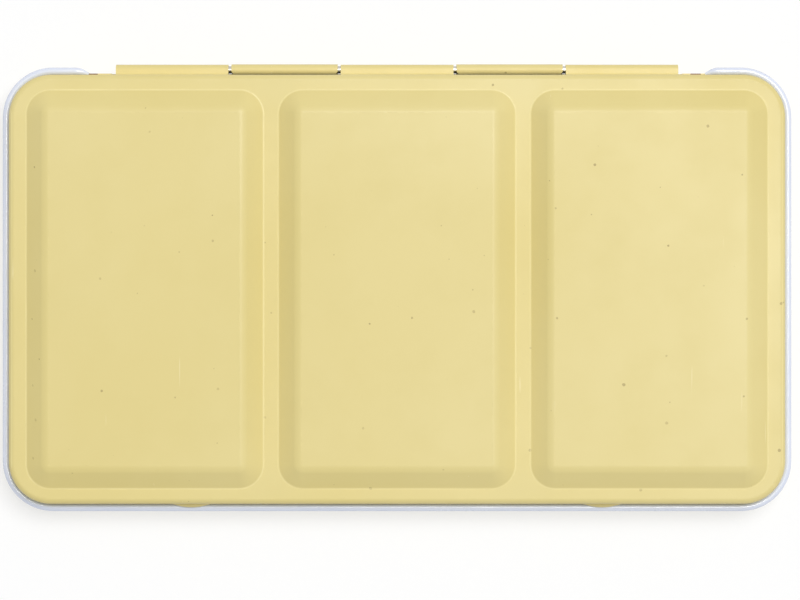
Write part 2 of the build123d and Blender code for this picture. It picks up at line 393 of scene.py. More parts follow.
def closingDimple():
    # the left dimple: a slice of a ring that stands out of the front skirt
    design = lidDesign
    frontY = tin["middleY"] - tin["lidWidth"] / 2
    ringY = frontY - design["dimpleDepth"] + design["dimplePlanRadius"]
    clearSelection()
    bpy.ops.mesh.primitive_torus_add(
        location=(-design["dimpleX"], ringY, design["dimpleZ"]),
        major_radius=design["dimplePlanRadius"] - design["dimpleRadius"],
        minor_radius=design["dimpleRadius"],
        major_segments=design["dimpleSegments"][0],
        minor_segments=design["dimpleSegments"][1],
    )
    dimple = bpy.context.object
    bpy.ops.object.transform_apply(location=True, rotation=True, scale=True)
    bpy.ops.object.mode_set(mode="EDIT")
    bpy.ops.mesh.select_all(action="SELECT")
    rootPoint = (0, frontY + design["dimpleRoot"], 0)
    bpy.ops.mesh.bisect(plane_co=rootPoint, plane_no=(0, 1, 0), use_fill=True, clear_outer=True)
    bpy.ops.object.mode_set(mode="OBJECT")
    return dimple


def onWellOutline(point):
    # the outline is a rectangle with round corners
    design = lidDesign
    corner = design["wellCorner"]
    for step in (-1, 0, 1):
        x = abs(point.x - step * design["wellPitch"]) - (design["wellLength"] / 2 - corner)
        y = abs(point.y - tin["middleY"]) - (design["wellWidth"] / 2 - corner)
        away = sqrt(max(x, 0) ** 2 + max(y, 0) ** 2) + min(max(x, y), 0) - corner
        if abs(away) < design["outlineReach"]:
            return True
    return False


def wellCrease(a, b):
    onLand = level(lidDesign["landZ"])(a, b)
    return onLand and onWellOutline(a) and onWellOutline(b) and onWellOutline((a + b) / 2)


def makeLid(materials):
    design = lidDesign
    height = design["landZ"] - design["skirtBottom"]
    middle = (0, tin["middleY"], design["landZ"] - height / 2)
    lid = startBox("lidShell", (tin["lidLength"], tin["lidWidth"], height), middle)
    roundEdges(lid, upright, design["corner"], tin["cornerSteps"])
    roundEdges(lid, level(design["landZ"]), design["edge"], design["edgeSteps"])

    well = pressedWell()
    wells = [well] + [copyOf(well, "well", (step * design["wellPitch"], 0, 0)) for step in (1, 2)]
    dimple = closingDimple()
    dimples = [dimple, copyOf(dimple, "dimple", (2 * design["dimpleX"], 0, 0))]
    for pressed in wells + dimples:
        combine(lid, pressed, "UNION")
    roundEdges(lid, wellCrease, design["crease"] * tan(design["slope"] / 2), design["creaseSteps"])

    # open it below, give it its thickness and cut the back skirt away over the hinge
    dropFaces(lid, lambda centre, normal: near(centre.z, design["skirtBottom"]) and facesDown(centre, normal))
    lid.data.materials.append(materials[0])
    lid.data.materials.append(materials[1])
    modify(lid, "SOLIDIFY", thickness=tin["sheet"], offset=-1, use_even_offset=True, material_offset=1)
    notchZ = hingePoint.z + design["notchRise"]
    cutWallBack(lid, design["notchHalf"], notchZ, 1)

    sheetY = hingePoint.y - tin["pinOffset"] - tin["sheet"] / 2
    knuckles = [rolledStrip("knuckle", design, span, sheetY, notchZ, 1) for span in design["knuckles"]]
    for knuckle in knuckles:
        knuckle.data.materials.append(materials[0])
    joinTo(lid, knuckles)
    smooth(lid, 32)
    finishPiece(lid, "lid", "lid")
    print("lid modelled:", len(lid.data.polygons), "faces")


# Base: a pressed pan with a dished underside, a rolled rim and two hinge tongues
baseDesign = {
    "corner": 12.05 * mm,
    "footBend": 2.5 * mm,
    "footSteps": 8,
    "footLand": 3.0 * mm,
    "footSlack": 0.5 * mm,  # past the land, within which an edge counts as the dish's fold
    "recessDepth": 2.6 * mm,
    "recessFold": 0.42 * mm,
    "recessSteps": 4,
    "rimEnd": 83.6 * mm,
    "rimTaper": 3.6 * mm,
    "rimSteps": 6,
    "rimThin": 0.25,  # share of the bead's radius that is left at its ends
    "rimRoundness": 8,
    "tongues": [(-44.9, -16.1), (16.1, 44.9)],
    "cutHalf": 77.4 * mm,
    "cutDrop": 2 * mm,  # from the wire down to the cut wall
    "bend": 0.7 * mm,  # to the middle of the sheet
    "roll": radians(240),
    "endRound": 1.1 * mm,
    "endReach": 1.32 * mm,  # from the wire back to the tongue's free end
    "endRise": 1.1 * mm,  # from the wire up to the tongue's free end
    "trimHeight": 1.8 * mm,
    "trimPin": 3 * mm,
}


def trimCorner(tongue, end, inward):
    # rounds one corner of the tongue's free end, over the wire: a block less a cylinder is cut away
    design = baseDesign
    radius = design["endRound"]
    edgeY = hingePoint.y - design["endReach"]
    middle = Vector((end + inward * radius, edgeY + radius, hingePoint.z + design["endRise"]))
    size = (2 * radius, 2 * radius, design["trimHeight"])
    block = startBox("block", size, middle - Vector((inward * radius, radius, 0)))
    clearSelection()
    bpy.ops.mesh.primitive_cylinder_add(
        vertices=48, radius=radius, depth=design["trimPin"], location=middle
    )
    bpy.ops.object.transform_apply(location=True, rotation=True, scale=True)
    combine(block, bpy.context.object, "DIFFERENCE")
    combine(tongue, block, "DIFFERENCE")


def rolledRim():
    # an outline of the roll's middle line, open at the hinge and thinner there, given its round section
    design = baseDesign
    out = tin["skirtGap"] + tin["beadRadius"]
    halfLength, halfWidth = tin["lidLength"] / 2 + out, tin["lidWidth"] / 2 + out
    clearSelection()
    bpy.ops.mesh.primitive_plane_add(size=1, location=(0, tin["middleY"], hingePoint.z))
    rim = bpy.context.object
    rim.name = "rim"
    rim.scale = (2 * halfLength, 2 * halfWidth, 1)
    bpy.ops.object.transform_apply(location=True, rotation=True, scale=True)
    pick(rim, "VERT", lambda point: True)
    bpy.ops.mesh.bevel(offset=lidDesign["corner"] + out, segments=tin["cornerSteps"], affect="VERTICES")
    bpy.ops.mesh.delete(type="ONLY_FACE")
    for step in range(design["rimSteps"] + 1):
        for sign in (-1, 1):
            bpy.ops.mesh.select_all(action="SELECT")
            cutX = sign * (design["rimEnd"] + design["rimTaper"] * step / design["rimSteps"])
            bpy.ops.mesh.bisect(plane_co=(cutX, 0, 0), plane_no=(1, 0, 0))
    backY = tin["middleY"] + halfWidth
    pick(rim, "EDGE", lambda a, b: near(a.y, backY) and near(b.y, backY) and near(a.x, -b.x, 1e-4))
    bpy.ops.mesh.delete(type="EDGE")
    takeUp(rim)
    bpy.ops.object.convert(target="CURVE")
    thin = design["rimThin"]
    for spline in rim.data.splines:
        for point in spline.points:
            run = (abs(point.co.x) - design["rimEnd"]) / design["rimTaper"]
            if point.co.y > backY - 1e-5 and run < 1:
                point.radius = thin + (1 - thin) * sin(run * pi / 2)
                point.co.y -= tin["beadRadius"] * (1 - point.radius)
    rim.data.dimensions = "3D"
    rim.data.bevel_depth = tin["beadRadius"]
    rim.data.bevel_resolution = design["rimRoundness"]
    rim.data.use_fill_caps = True
    bpy.ops.object.convert(target="MESH")
    return rim


def makeBase(materials):
    design = baseDesign
    rimZ = hingePoint.z
    spread = 2 * (tin["skirtGap"] + tin["sheet"])
    length, width = tin["lidLength"] + spread, tin["lidWidth"] + spread
    base = startBox("baseShell", (length, width, rimZ), (0, tin["middleY"], rimZ / 2))
    roundEdges(base, upright, design["corner"], tin["cornerSteps"])
    roundEdges(base, level(0), design["footBend"], design["footSteps"])

    # dish the underside, and soften both of the dish's folds
    pick(base, "FACE", facesDown)
    bpy.ops.mesh.inset(thickness=design["footLand"])
    bpy.ops.mesh.inset(thickness=design["recessDepth"])
    bpy.ops.transform.translate(value=(0, 0, design["recessDepth"]))
    bpy.ops.object.mode_set(mode="OBJECT")
    innerX = length / 2 - design["footBend"] - design["footLand"] + design["footSlack"]
    innerY = innerX - (length - width) / 2

    def footFold(a, b):
        return level(0)(a, b) and abs(a.x) < innerX and abs(a.y - tin["middleY"]) < innerY

    roundEdges(base, level(design["recessDepth"]), design["recessFold"], design["recessSteps"])
    roundEdges(base, footFold, design["recessFold"], design["recessSteps"])

    # open it above, give it its thickness and cut the back wall away over the hinge
    dropFaces(base, lambda centre, normal: near(centre.z, rimZ) and facesUp(centre, normal))
    base.data.materials.append(materials[0])
    base.data.materials.append(materials[1])
    modify(base, "SOLIDIFY", thickness=tin["sheet"], offset=-1, use_even_offset=True, material_offset=1)
    cutZ = rimZ - design["cutDrop"]
    cutWallBack(base, design["cutHalf"], cutZ, -1)

    rim = rolledRim()
    rim.data.materials.clear()
    rim.data.materials.append(materials[2])

    sheetY = tin["middleY"] + width / 2 - tin["sheet"] / 2
    left, right = design["tongues"]
    tongue = rolledStrip("tongue", design, left, sheetY, cutZ, -1)
    trimCorner(tongue, left[0] * mm, 1)
    trimCorner(tongue, left[1] * mm, -1)
    tongue.data.materials.append(materials[0])
    rightTongue = copyOf(tongue, "tongue", ((right[0] - left[0]) * mm, 0, 0))
    joinTo(base, [rim, tongue, rightTongue])
    smooth(base, 32)
    finishPiece(base, "base", "base_tin")
    print("base modelled:", len(base.data.polygons), "faces")


# Wear: two spots beside the hinge where paint and enamel have gone
wearDesign = {
    "steel": tone(112, 78, 48),
    "metallic": 0.3,
    "ragged": 1.2,  # how far the spots' edges wander
    "spots": [(-82.5 * mm, 1.2 * mm), (81.1 * mm, 1.4 * mm)],  # middle and half length along the wall
    "across": 0.7 * mm,
    "upright": 0.8 * mm,
}


def wearThrough(finish, place, base):
    # the colour and how metallic it is, with the spots worn through to the steel
    design = wearDesign
    wallY = tin["middleY"] + tin["lidWidth"] / 2 + tin["skirtGap"] + tin["sheet"] / 2
    x, y, z = finish.axes(place)
    ragged = (finish.noise(place, 1400.0, 2.0) - 0.5) * design["ragged"]
    offWall = ((y - wallY) / design["across"]) ** 2 + ((z - hingePoint.z) / design["upright"]) ** 2
    worn = 0.0
    for middle, half in design["spots"]:
        worn = worn + (((x - middle) / half) ** 2 + offWall + ragged < 1.0)
    return finish.mix(worn, base, design["steel"]), worn * design["metallic"]


# Yellow paint: satin lacquer on tinplate
paintDesign = {
    "yellows": (tone(228, 211, 141), tone(232, 216, 150)),
    "cloudTone": tone(224, 207, 137),
    "speckTone": tone(150, 130, 86),
    "speckCells": 100.0,  # to the metre, so that a cell is about 10 mm wide
    "speckLess": 0.62,  # share of the cells that hold no speck
    "speckSize": (0.01, 0.034),  # of a cell: the least, and how much is left to chance
    "speckRagged": 0.03,
    "lean": 0.7,  # of the cells' plane over the walls, so that these have specks too
    "scratchTone": tone(247, 233, 180),
    "scratches": [(0.6, 0.76), (2.2, 0.78)],  # which way each set runs, and how rare it is
    # painted highlight: a lighter colour laid along the fold round each well, in place of light caught there
    "foldHighlightTone": tone(247, 232, 168),
    "foldHighlightOut": 0.1 * mm,  # from a well's outline to the middle of the painted highlight on its fold
    "foldHighlightReach": 0.35 * mm,
    "foldHighlightHeight": 0.3 * mm,
}


def wellFoldHighlight(finish, place):
    # 1 on the painted highlight along the fold round each well, 0 a little beside it
    design = lidDesign
    x, y, z = finish.axes(place)
    pitch, corner = design["wellPitch"], design["wellCorner"]
    fromWell = finish.maths("FLOORED_MODULO", x + 1.5 * pitch, pitch) - pitch / 2
    along = abs(fromWell) - (design["wellLength"] / 2 - corner)
    across = abs(y - tin["middleY"]) - (design["wellWidth"] / 2 - corner)
    out = finish.maths("MAXIMUM", along, 0.0) ** 2 + finish.maths("MAXIMUM", across, 0.0) ** 2
    within = finish.maths("MINIMUM", finish.maths("MAXIMUM", along, across), 0.0)
    away = finish.maths("SQRT", out) + within - corner
    onLand = abs(z - design["landZ"]) < paintDesign["foldHighlightHeight"]
    return finish.ramp(abs(away - paintDesign["foldHighlightOut"]), 0.0, paintDesign["foldHighlightReach"], 1.0, 0.0) * onLand


def paintSpecks(finish, place):
    # 1 on small specks, one each in a few of the cells, and how dark each of them is
    design = paintDesign
    x, y, z = finish.axes(place)
    plane = {0: x + z * design["lean"], 1: y + z * design["lean"]}
    cells = finish.node(
        "ShaderNodeTexVoronoi",
        {"voronoi_dimensions": "2D"},
        {"Vector": finish.node("ShaderNodeCombineXYZ", values=plane), "Scale": design["speckCells"]},
    )
    chance = finish.axes(Flow(finish, cells.socket.node.outputs["Color"]))
    ragged = (finish.noise(place, 1800.0, 2.0, 0.6) - 0.5) * design["speckRagged"]
    least, more = design["speckSize"]
    speck = (cells < chance[1] * chance[1] * more + least + ragged) * (chance[0] > design["speckLess"])
    return speck, speck * (chance[2] * 0.4 + 0.2)


def fineScratches(finish, place):
    # thin lines along two directions, only here and there
    scratches = 0.0
    for turn, rare in paintDesign["scratches"]:
        values = {"Vector": place, "Rotation": (0, 0, turn), "Scale": (1, 0.04, 1)}
        lines = finish.noise(finish.node("ShaderNodeMapping", values=values), 900.0, 1.0, 0.4)
        where = finish.noise(place, 70.0 + 15 * turn, 1.0, 0.4)
        scratches = scratches + finish.ramp(lines, rare, rare + 0.03) * finish.ramp(where, 0.6, 0.68)
    return scratches


def paintedYellow(name, foldHighlights=False, worn=False):
    # a little uneven, with specks and scratches, and with a painted highlight on the wells' folds where these
    # are given
    design = paintDesign
    finish = Finish(name, Coat_Roughness=0.16, Specular_IOR_Level=0.3)
    place = finish.place()
    mottle = finish.noise(place, 16.0, 3.0, 0.55)
    cloud = finish.noise(place, 60.0, 3.0, 0.6)
    grain = finish.noise(place, 900.0, 2.0, 0.6)
    speck, dark = paintSpecks(finish, place)
    scratches = fineScratches(finish, place)
    base = finish.mix(finish.ramp(mottle, 0.35, 0.68), *design["yellows"])
    base = finish.mix(finish.ramp(cloud, 0.45, 0.75, 0.0, 0.3), base, design["cloudTone"])
    base = finish.mix(dark, base, design["speckTone"])
    base = finish.mix(finish.ramp(scratches, 0.0, 1.0, 0.0, 0.5), base, design["scratchTone"])
    # painted highlight along the fold round each well, uneven along its length
    if foldHighlights:
        uneven = finish.ramp(cloud, 0.3, 0.7, 0.35, 0.8)
        base = finish.mix(wellFoldHighlight(finish, place) * uneven, base, design["foldHighlightTone"])
    metallic = 0.0
    if worn:
        base, metallic = wearThrough(finish, place, base)
    height = grain * 0.25 + cloud * 0.6 - speck * 0.5 - scratches * 0.4
    return finish.shade(
        Base_Color=base,
        Roughness=finish.ramp(cloud, 0.3, 0.7, 0.38, 0.47) + grain * 0.05 + scratches * 0.1,
        Coat_Weight=finish.ramp(mottle, 0.3, 0.7, 0.05, 0.12) * (1.0 - speck),
        Metallic=metallic,
        Normal=finish.bump(height, 0.02 * mm, 0.6),
    )


# Enamel: slightly cool inside the tin, and cooler on the rim
enamelDesign = {
    "whiteEnamel": (tone(227, 229, 237), tone(234, 235, 241)),
    "rimEnamel": (tone(220, 227, 246), tone(230, 235, 249)),
}


def stovedEnamel(name, worn=False):
    # glossy, with a soft unevenness
    low, high = enamelDesign[name]
    finish = Finish(name, Coat_Roughness=0.08)
    place = finish.place()
    flow = finish.noise(place, 35.0, 3.0, 0.5)
    grain = finish.noise(place, 1200.0, 2.0, 0.6)
    base = finish.mix(finish.ramp(flow, 0.35, 0.7), low, high)
    metallic = 0.0
    if worn:
        base, metallic = wearThrough(finish, place, base)
    return finish.shade(
        Base_Color=base,
        Metallic=metallic,
        Roughness=finish.ramp(flow, 0.3, 0.7, 0.2, 0.28) + grain * 0.04,
        Coat_Weight=finish.ramp(flow, 0.3, 0.7, 0.55, 0.7),
        Normal=finish.bump(flow * 0.7 + grain * 0.1, 0.02 * mm, 0.5),
    )


# Bare metal: its colour, the way that its drawn lines run, and its roughness
metalDesign = {
    "ferruleMetal": (tone(214, 210, 200), (0.3, 1, 1), 0.22),
    "rackSteel": (tone(196, 196, 192), (0.02, 1, 1), 0.32),
    "wireSteel": (tone(206, 204, 198), (0.1, 1, 1), 0.2),
    "strapSteel": (tone(190, 188, 184), (1, 0.05, 1), 0.34),
    "stain": tone(150, 148, 144),
    "lines": tone(235, 234, 230),
}


def bareMetal(name):
    colour, along, roughness = metalDesign[name]
    finish = Finish(name, Specular_IOR_Level=0.5)
    place = finish.place()
    lines = finish.noise(place, 1500.0, 3.0, 0.6, along)
    stain = finish.noise(place, 90.0, 4.0, 0.6)
    base = finish.mix(finish.ramp(stain, 0.4, 0.75), colour, metalDesign["stain"])
    return finish.shade(
        Base_Color=finish.mix(lines * 0.25, base, metalDesign["lines"]),
        Metallic=finish.ramp(stain, 0.0, 1.0, 1.0, 0.92),
        Roughness=finish.ramp(lines, 0.3, 0.7, roughness - 0.06, roughness + 0.1),
        Normal=finish.bump(lines, 0.01 * mm, 0.5),
    )


# Pans: one is modelled, and copied to the other places
panDesign = {
    "length": 30.0 * mm,
    "width": 19.0 * mm,
    "height": 10.0 * mm,
    "wall": 0.9 * mm,
    "floor": 1.0 * mm,
    "corner": 1.7 * mm,
    "cornerSteps": 6,
    "draft": radians(4),
    "foot": 0.8 * mm,  # round edge under the floor
    "lip": 0.22 * mm,
    "edgeSteps": 4,
    "whites": (tone(240, 239, 234), tone(246, 245, 241)),
    "driedRuns": (tone(120, 140, 170), tone(176, 120, 96)),
}


def mouldedPlastic():
    # white, with a little dried paint that has run down from the rim of each pan
    design = panDesign
    finish = Finish(
        "panPlastic", Subsurface_Weight=0.12, Subsurface_Scale=2 * mm, Subsurface_Radius=(1, 1, 1)
    )
    place = finish.place()
    flow = finish.noise(place, 120.0, 2.0, 0.5)
    grain = finish.noise(place, 2500.0, 2.0, 0.6)
    run = finish.noise(place, 420.0, 3.0, 0.6, (1, 1, 0.3))
    tint = finish.noise(place, 28.0, 1.0, 0.5)
    stain = finish.mix(finish.ramp(tint, 0.42, 0.6), *design["driedRuns"])
    base = finish.mix(finish.ramp(flow, 0.3, 0.7), *design["whites"])
    return finish.shade(
        Base_Color=finish.mix(finish.ramp(run, 0.68, 0.72, 0.0, 0.35), base, stain),
        Roughness=finish.ramp(flow, 0.3, 0.7, 0.3, 0.4),
        Normal=finish.bump(grain, 0.01 * mm, 0.4),
    )


def makePan():
    design = panDesign
    low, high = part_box("pan_01")
    middle = (low + high) / 2
    length, width, height = design["length"], design["width"], design["height"]
    pan = startBox("pan01", (length, width, height), middle)
    roundEdges(pan, upright, design["corner"], design["cornerSteps"])
    narrowing = height * tan(design["draft"])
    pick(pan, "FACE", facesDown)
    scaleAbout(middle, 1 - 2 * narrowing / length, 1 - 2 * narrowing / width)
    pick(pan, "FACE", facesUp)
    bpy.ops.mesh.inset(thickness=design["wall"])
    depth = height - design["floor"]
    bpy.ops.mesh.extrude_region_move(TRANSFORM_OT_translate={"value": (0, 0, -depth)})
    taper = depth * tan(design["draft"])
    halfLength, halfWidth = length / 2 - design["wall"], width / 2 - design["wall"]
    scaleAbout(middle, 1 - taper / halfLength, 1 - taper / halfWidth)
    bpy.ops.object.mode_set(mode="OBJECT")
    roundEdges(pan, level(low.z), design["foot"], design["edgeSteps"])
    roundEdges(pan, level(high.z), design["lip"], design["edgeSteps"])
    smooth(pan, 35)
    return pan


# Cakes: filled a little under the rim, hollowed where the brush has been
cakeDesign = {
    "corner": 0.9 * mm,
    "cornerSteps": 4,
    "rim": 0.3 * mm,
    "rimSteps": 3,
    "dishes": [(0.9 * mm, 0.42 * mm), (1.6 * mm, 0.3 * mm), (2.2 * mm, 0.18 * mm)],  # inwards, down
    "colours": [
        ("white", (238, 236, 228)),
        ("lemon", (226, 208, 40)),
        ("yellow", (234, 178, 22)),
        ("yellow_orange", (226, 132, 20)),
        ("orange", (216, 88, 26)),
        ("vermilion", (196, 46, 30)),
        ("crimson", (134, 18, 34)),
        ("magenta", (150, 24, 84)),
        ("violet", (74, 34, 104)),
        ("lilac", (126, 104, 166)),
        ("ultramarine", (26, 36, 118)),
        ("cobalt", (28, 70, 150)),
        ("sky_blue", (52, 128, 180)),
        ("turquoise", (22, 124, 132)),
        ("deep_green", (16, 72, 56)),
        ("green", (34, 112, 50)),
        ("light_green", (104, 156, 42)),
        ("olive", (88, 92, 34)),
        ("yellow_ochre", (178, 126, 46)),
        ("light_red", (150, 66, 38)),
        ("burnt_umber", (78, 44, 28)),
        ("sepia", (48, 34, 28)),
        ("grey", (104, 108, 112)),
        ("black", (26, 26, 28)),
    ],
    "deepShare": 0.88,  # of the colour, where the cake is darkest
    "paleShare": 0.1,  # of white in the crust
    "patternShift": 1.7,  # in metres, so that no two cakes have the same pattern
}


def driedPaint(name, colour, number):
    # gummy and half glossy, dustier where it dried, wetter where it was worked
    design = cakeDesign
    finish = Finish(name, Specular_IOR_Level=0.28, Coat_Roughness=0.3)
    shift = {"Vector": finish.place(), "Location": (number * design["patternShift"], 0, 0)}
    place = finish.node("ShaderNodeMapping", values=shift)
    swirl = finish.noise(place, 110.0, 3.0, 0.55)
    crust = finish.noise(place, 1300.0, 3.0, 0.6)
    pits = finish.noise(place, 2600.0, 2.0, 0.5)
    deep = tone(*[part * design["deepShare"] for part in colour])
    pale = tone(*[part + (255 - part) * design["paleShare"] for part in colour])
    base = finish.mix(finish.ramp(swirl, 0.38, 0.64), deep, tone(*colour))
    dry = finish.ramp(swirl, 0.42, 0.6)
    return finish.shade(
        Base_Color=finish.mix(finish.ramp(crust, 0.6, 0.78, 0.0, 0.5), base, pale),
        Roughness=finish.ramp(crust, 0.3, 0.7, 0.36, 0.46) + dry * 0.16,
        Coat_Weight=(1.0 - dry) * 0.22,
        Normal=finish.bump(swirl * 1.5 + crust * 0.3 + pits * dry * 0.2, 0.35 * mm, 0.6),
    )


def makeCake():
    design = cakeDesign
    low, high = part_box("paint_01")
    middle, size = (low + high) / 2, high - low
    cake = startBox("cake01", size, middle)
    roundEdges(cake, upright, design["corner"], design["cornerSteps"])
    narrowing = size.z * tan(panDesign["draft"])
    pick(cake, "FACE", facesDown)
    scaleAbout(middle, 1 - 2 * narrowing / size.x, 1 - 2 * narrowing / size.y)
    roundEdges(cake, level(high.z), design["rim"], design["rimSteps"])
    pick(cake, "FACE", facesUp)
    reach = Vector((size.x / 2, size.y / 2))
    for margin, drop in design["dishes"]:
        bpy.ops.mesh.extrude_region_move(TRANSFORM_OT_translate={"value": (0, 0, -drop)})
        scaleAbout(middle, 1 - margin / reach.x, 1 - margin / reach.y)
        reach -= Vector((margin, margin))
    bpy.ops.object.mode_set(mode="OBJECT")
    smooth(cake, 60)
    return cake


def makePansAndCakes():
    pans, cakes = [makePan()], [makeCake()]
    colours = cakeDesign["colours"]
    for number in range(2, len(colours) + 1):
        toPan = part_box(f"pan_{number:02d}")[0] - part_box("pan_01")[0]
        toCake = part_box(f"paint_{number:02d}")[0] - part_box("paint_01")[0]
        pans.append(copyOf(pans[0], f"pan{number:02d}", toPan))
        cakes.append(copyOf(cakes[0], f"cake{number:02d}", toCake))
    plastic = mouldedPlastic()
    for number, (name, colour) in enumerate(colours, 1):
        dried = driedPaint(f"{name}Cake", colour, number)
        finishPiece(pans[number - 1], "base", f"pan_{number:02d}", plastic)
        finishPiece(cakes[number - 1], "base", f"paint_{number:02d}", dried)
    print("pans and cakes modelled:", len(colours), "of each")


# Brush: each part is turned on the brush's own axis, then laid down.
# A row of a turned part is a place along the axis and the radius there, both in mm
brushDesign = {
    "belly": Vector((18.0 * mm, tin["middleY"], 6.4 * mm)),
    "tilt": radians(1.33),
    "handle": [
        (-83.3, 0.25), (-83.1, 0.65), (-82.7, 1.0), (-82.0, 1.3), (-66.0, 1.45), (-50.8, 1.78), (-40.0, 2.02),
        (-30.0, 2.3), (-22.0, 2.55), (-15.0, 2.87), (-8.0, 3.1), (0.0, 3.2), (6.0, 3.08), (11.0, 2.82),
        (13.3, 2.6), (13.95, 2.5),
    ],
    "handleSegments": 48,
    "ferrule": [
        (14.0, 2.45), (14.15, 2.55), (15.7, 2.55), (15.85, 2.42), (16.0, 2.38), (16.15, 2.42), (16.3, 2.55),
        (19.2, 2.55), (19.35, 2.42), (19.5, 2.38), (19.65, 2.42), (19.8, 2.55), (22.0, 2.55), (37.85, 2.11),
        (38.0, 2.05), (38.0, 1.85), (37.0, 1.8),
    ],
    "ferruleSegments": 64,
    "tuft": [
        (36.0, 1.7), (38.2, 1.78), (39.5, 2.0), (41.0, 2.18), (43.0, 2.26), (45.0, 2.16), (47.3, 1.82),
        (49.5, 1.32), (51.5, 0.84), (53.2, 0.44), (54.4, 0.16),
    ],
    "tuftSegments": 40,
    "hairs": 170,
    "hairSegments": 5,
    "hairRadius": 0.055 * mm,
    "hairStart": (37.6, 1.72),
    "ferruleEnd": 38,
    "hairShare": (0.86, 0.2),  # of the tuft's radius: the least, and how much is left to chance
    "hairLength": (51.0, 3.6),  # where a hair ends: the least, and how much is left to chance
    "hairLift": 0.03,  # over the tuft
    "hairPoint": (0.4, 0.1),  # past the end, and the radius there
    "woods": (tone(84, 26, 18), tone(128, 44, 26)),
    "pores": tone(48, 14, 10),
    "furs": (tone(62, 34, 18), tone(156, 98, 54)),
    "tipTone": tone(52, 28, 16),
    "tipRun": (56.0 * mm, 73.0 * mm),  # where the tuft starts to darken, and where it is darkest
}


def lacqueredWood():
    design = brushDesign
    finish = Finish("brushWood", Coat_Roughness=0.06)
    place = finish.place()
    grain = finish.noise(place, 700.0, 4.0, 0.6, (0.06, 1, 1))
    pores = finish.noise(place, 3000.0, 2.0, 0.5, (0.04, 1, 1))
    wear = finish.noise(place, 45.0, 3.0, 0.5)
    base = finish.mix(finish.ramp(grain, 0.35, 0.7), *design["woods"])
    return finish.shade(
        Base_Color=finish.mix(finish.ramp(pores, 0.6, 0.75, 0.0, 0.6), base, design["pores"]),
        Roughness=finish.ramp(wear, 0.3, 0.7, 0.28, 0.42),
        Coat_Weight=finish.ramp(wear, 0.35, 0.7, 0.9, 0.6),
        Normal=finish.bump(grain, 0.03 * mm, 0.5),
    )


def brushHair():
    design = brushDesign
    finish = Finish("brushHair", Sheen_Weight=0.3, Sheen_Roughness=0.4)
    place = finish.place()
    strand = finish.noise(place, 5000.0, 3.0, 0.6, (0.02, 1, 1))
    base = finish.mix(finish.ramp(strand, 0.35, 0.68), *design["furs"])
    tip = finish.ramp(finish.axes(place)[0], *design["tipRun"])
    return finish.shade(
        Base_Color=finish.mix(tip * 0.55, base, design["tipTone"]),
        Roughness=finish.ramp(strand, 0.3, 0.7, 0.42, 0.6),
        Normal=finish.bump(strand, 0.08 * mm, 0.8),
    )


def startCircle(name, segments, radius, middle):
    # a filled circle that faces along X, left in edit mode with all of it selected
    clearSelection()
    bpy.ops.mesh.primitive_circle_add(
        vertices=segments, radius=radius, location=middle, rotation=(0, pi / 2, 0), fill_type="NGON"
    )
    bpy.context.object.name = name
    bpy.ops.object.transform_apply(location=True, rotation=True, scale=True)
    bpy.ops.object.mode_set(mode="EDIT")
    bpy.ops.mesh.select_all(action="SELECT")
    return bpy.context.object


def turned(name):
    # rings drawn out along X from a first circle, each scaled to its radius
    stations = brushDesign[name]
    start, radius = stations[0]
    part = startCircle(name, brushDesign[name + "Segments"], radius * mm, (start * mm, 0, 0))
    for place, size in stations[1:]:
        bpy.ops.mesh.extrude_region_move(TRANSFORM_OT_translate={"value": ((place - start) * mm, 0, 0)})
        scale = size / radius
        bpy.ops.transform.resize(value=(1, scale, scale), center_override=(place * mm, 0, 0))
        start, radius = place, size
    bpy.ops.mesh.select_all(action="SELECT")
    bpy.ops.mesh.normals_make_consistent(inside=False)
    bpy.ops.object.mode_set(mode="OBJECT")
    return part


def combedHair(angle, share, end):
    # one hair: drawn out over the tuft's rows, and closed to a point
    design = brushDesign
    across, up = cos(angle), sin(angle)
    start, height = design["hairStart"]
    root = (start * mm, across * height * mm, up * height * mm)
    hair = startCircle("hair", design["hairSegments"], design["hairRadius"], root)
    rows = [row for row in design["tuft"] if design["ferruleEnd"] < row[0] < end]
    past, pointRadius = design["hairPoint"]
    for place, radius in rows + [(end + past, pointRadius)]:
        lifted = radius * share + design["hairLift"]
        rise = (lifted - height) * mm
        move = ((place - start) * mm, across * rise, up * rise)
        bpy.ops.mesh.extrude_region_move(TRANSFORM_OT_translate={"value": move})
        start, height = place, lifted
    bpy.ops.mesh.merge(type="CENTER")
    bpy.ops.object.mode_set(mode="OBJECT")
    return hair


def layDown(part):
    takeUp(part)
    bpy.ops.transform.rotate(value=brushDesign["tilt"], orient_axis="Y", center_override=(0, 0, 0))
    bpy.ops.transform.translate(value=brushDesign["belly"])
    bpy.ops.object.transform_apply(location=True, rotation=True, scale=True)


def makeBrush():
    design = brushDesign
    handle = turned("handle")
    modify(handle, "SUBSURF", levels=1, render_levels=1)
    layDown(handle)
    smooth(handle, 50)
    finishPiece(handle, "base", "brush_handle", lacqueredWood())

    ferrule = turned("ferrule")
    layDown(ferrule)
    smooth(ferrule, 40)
    finishPiece(ferrule, "base", "brush_ferrule", bareMetal("ferruleMetal"))

    # single hairs, combed over the tuft and gathered at the tip
    tuft = turned("tuft")
    draw = random.Random(7)
    hairs = []
    for count in range(design["hairs"]):
        angle = 2 * pi * draw.random()
        share = design["hairShare"][0] + design["hairShare"][1] * draw.random()
        end = design["hairLength"][0] + design["hairLength"][1] * draw.random()
        hairs.append(combedHair(angle, share, end))
    joinTo(tuft, hairs)
    layDown(tuft)
    smooth(tuft, 60)
    finishPiece(tuft, "base", "brush_bristles", brushHair())
    print("brush modelled:", len(hairs), "hairs")


def dress(nodes, material):
    # the frame's own piece stays, with a better finish
    for name in nodes:
        for slot in frame["nodes"][name].material_slots:
            slot.material = material


